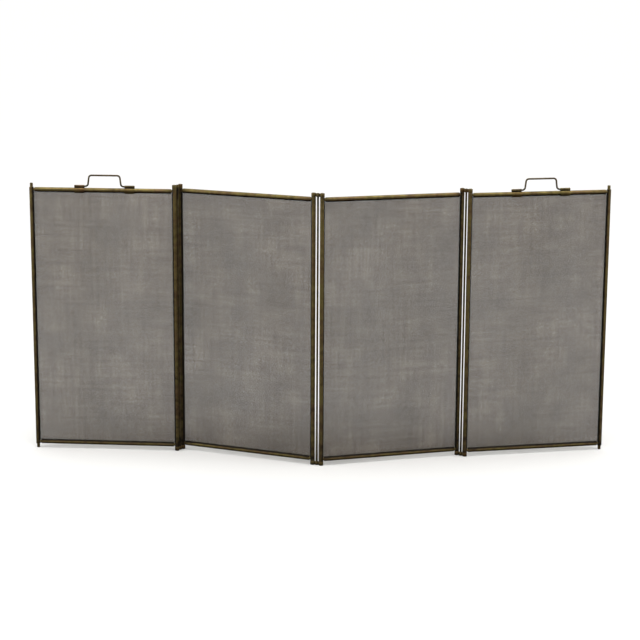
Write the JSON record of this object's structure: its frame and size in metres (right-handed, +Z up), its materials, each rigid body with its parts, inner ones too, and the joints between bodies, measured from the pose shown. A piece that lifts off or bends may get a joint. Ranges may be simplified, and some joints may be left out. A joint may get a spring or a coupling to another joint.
{
  "type": "folding fireplace screen",
  "caption": "Free-standing folding spark guard: round-bead brass frames with wire cloth, double-pivot hinges and tipping wire handles.",
  "frame": {"origin": "on the floor, under the middle of the standing screen's bounding box", "axes": "+X to the right along the standing screen, +Y towards the fire, +Z up; the room side faces -Y"},
  "size_m": [1.3372, 0.1572, 0.6506],
  "materials": {
    "brass_bead": "antiqued satin",
    "core_rod": "blackened satin",
    "wire_cloth": "woven wire, satin",
    "hinge_link": "antiqued satin",
    "tie_rod": "antiqued satin",
    "handle_wire": "darkened satin",
    "handle_strap": "antiqued satin"
  },
  "bodies": {
    "panel_1": {"panel_1_left_stile_casing": "brass_bead", "panel_1_left_stile_rod": "core_rod", "panel_1_right_stile_casing": "brass_bead", "panel_1_right_stile_rod": "core_rod", "panel_1_top_rail_casing": "brass_bead", "panel_1_top_rail_rod": "core_rod", "panel_1_bottom_rail_casing": "brass_bead", "panel_1_bottom_rail_rod": "core_rod", "panel_1_wire_cloth": "wire_cloth", "left_handle_left_strap": "handle_strap", "left_handle_right_strap": "handle_strap"},
    "panel_2": {"panel_2_left_stile_casing": "brass_bead", "panel_2_left_stile_rod": "core_rod", "panel_2_right_stile_casing": "brass_bead", "panel_2_right_stile_rod": "core_rod", "panel_2_top_rail_casing": "brass_bead", "panel_2_top_rail_rod": "core_rod", "panel_2_bottom_rail_casing": "brass_bead", "panel_2_bottom_rail_rod": "core_rod", "panel_2_wire_cloth": "wire_cloth"},
    "panel_3": {"panel_3_left_stile_casing": "brass_bead", "panel_3_left_stile_rod": "core_rod", "panel_3_right_stile_casing": "brass_bead", "panel_3_right_stile_rod": "core_rod", "panel_3_top_rail_casing": "brass_bead", "panel_3_top_rail_rod": "core_rod", "panel_3_bottom_rail_casing": "brass_bead", "panel_3_bottom_rail_rod": "core_rod", "panel_3_wire_cloth": "wire_cloth"},
    "panel_4": {"panel_4_left_stile_casing": "brass_bead", "panel_4_left_stile_rod": "core_rod", "panel_4_right_stile_casing": "brass_bead", "panel_4_right_stile_rod": "core_rod", "panel_4_top_rail_casing": "brass_bead", "panel_4_top_rail_rod": "core_rod", "panel_4_bottom_rail_casing": "brass_bead", "panel_4_bottom_rail_rod": "core_rod", "panel_4_wire_cloth": "wire_cloth", "right_handle_left_strap": "handle_strap", "right_handle_right_strap": "handle_strap"},
    "hinge_1": {"hinge_1_top_link": "hinge_link", "hinge_1_bottom_link": "hinge_link", "hinge_1_tie_rod": "tie_rod"},
    "hinge_2": {"hinge_2_top_link": "hinge_link", "hinge_2_bottom_link": "hinge_link", "hinge_2_tie_rod": "tie_rod"},
    "hinge_3": {"hinge_3_top_link": "hinge_link", "hinge_3_bottom_link": "hinge_link", "hinge_3_tie_rod": "tie_rod"},
    "left_handle": {"left_handle_bail": "handle_wire"},
    "right_handle": {"right_handle_bail": "handle_wire"}
  },
  "joints": [
    {"name": "hinge_1_left_pivot", "type": "hinge", "parent": "hinge_1", "child": "panel_1", "pos_m": [-0.33373, 0.0424, 0.3147], "axis": [0, 0, -1], "range_deg": [-146.5, 33.5]},
    {"name": "hinge_1_right_pivot", "type": "hinge", "parent": "panel_2", "child": "hinge_1", "pos_m": [-0.32098, 0.05896, 0.3147], "axis": [0, 0, -1], "range_deg": [-15.4, 164.6]},
    {"name": "hinge_2_left_pivot", "type": "hinge", "parent": "hinge_2", "child": "panel_2", "pos_m": [-0.01498, -0.06592, 0.3147], "axis": [0, 0, 1], "range_deg": [-88.7, 91.3]},
    {"name": "hinge_2_right_pivot", "type": "hinge", "parent": "hinge_2", "child": "panel_3", "pos_m": [0.00454, -0.07337, 0.3147], "axis": [0, 0, -1], "range_deg": [-53, 127]},
    {"name": "hinge_3_left_pivot", "type": "hinge", "parent": "panel_3", "child": "hinge_3", "pos_m": [0.32208, 0.01828, 0.3147], "axis": [0, 0, 1], "range_deg": [-41.1, 138.9]},
    {"name": "hinge_3_right_pivot", "type": "hinge", "parent": "hinge_3", "child": "panel_4", "pos_m": [0.33965, 0.00696, 0.3147], "axis": [0, 0, 1], "range_deg": [-134.4, 45.6]},
    {"name": "left_handle_pivot", "type": "hinge", "parent": "panel_1", "child": "left_handle", "pos_m": [-0.49437, 0.05392, 0.6231], "axis": [0.9974, -0.0715, 0], "range_deg": [-120, 120]},
    {"name": "right_handle_pivot", "type": "hinge", "parent": "panel_4", "child": "right_handle", "pos_m": [0.50329, 0.04055, 0.6231], "axis": [0.9796, 0.2011, 0], "range_deg": [-120, 120]}
  ]
}
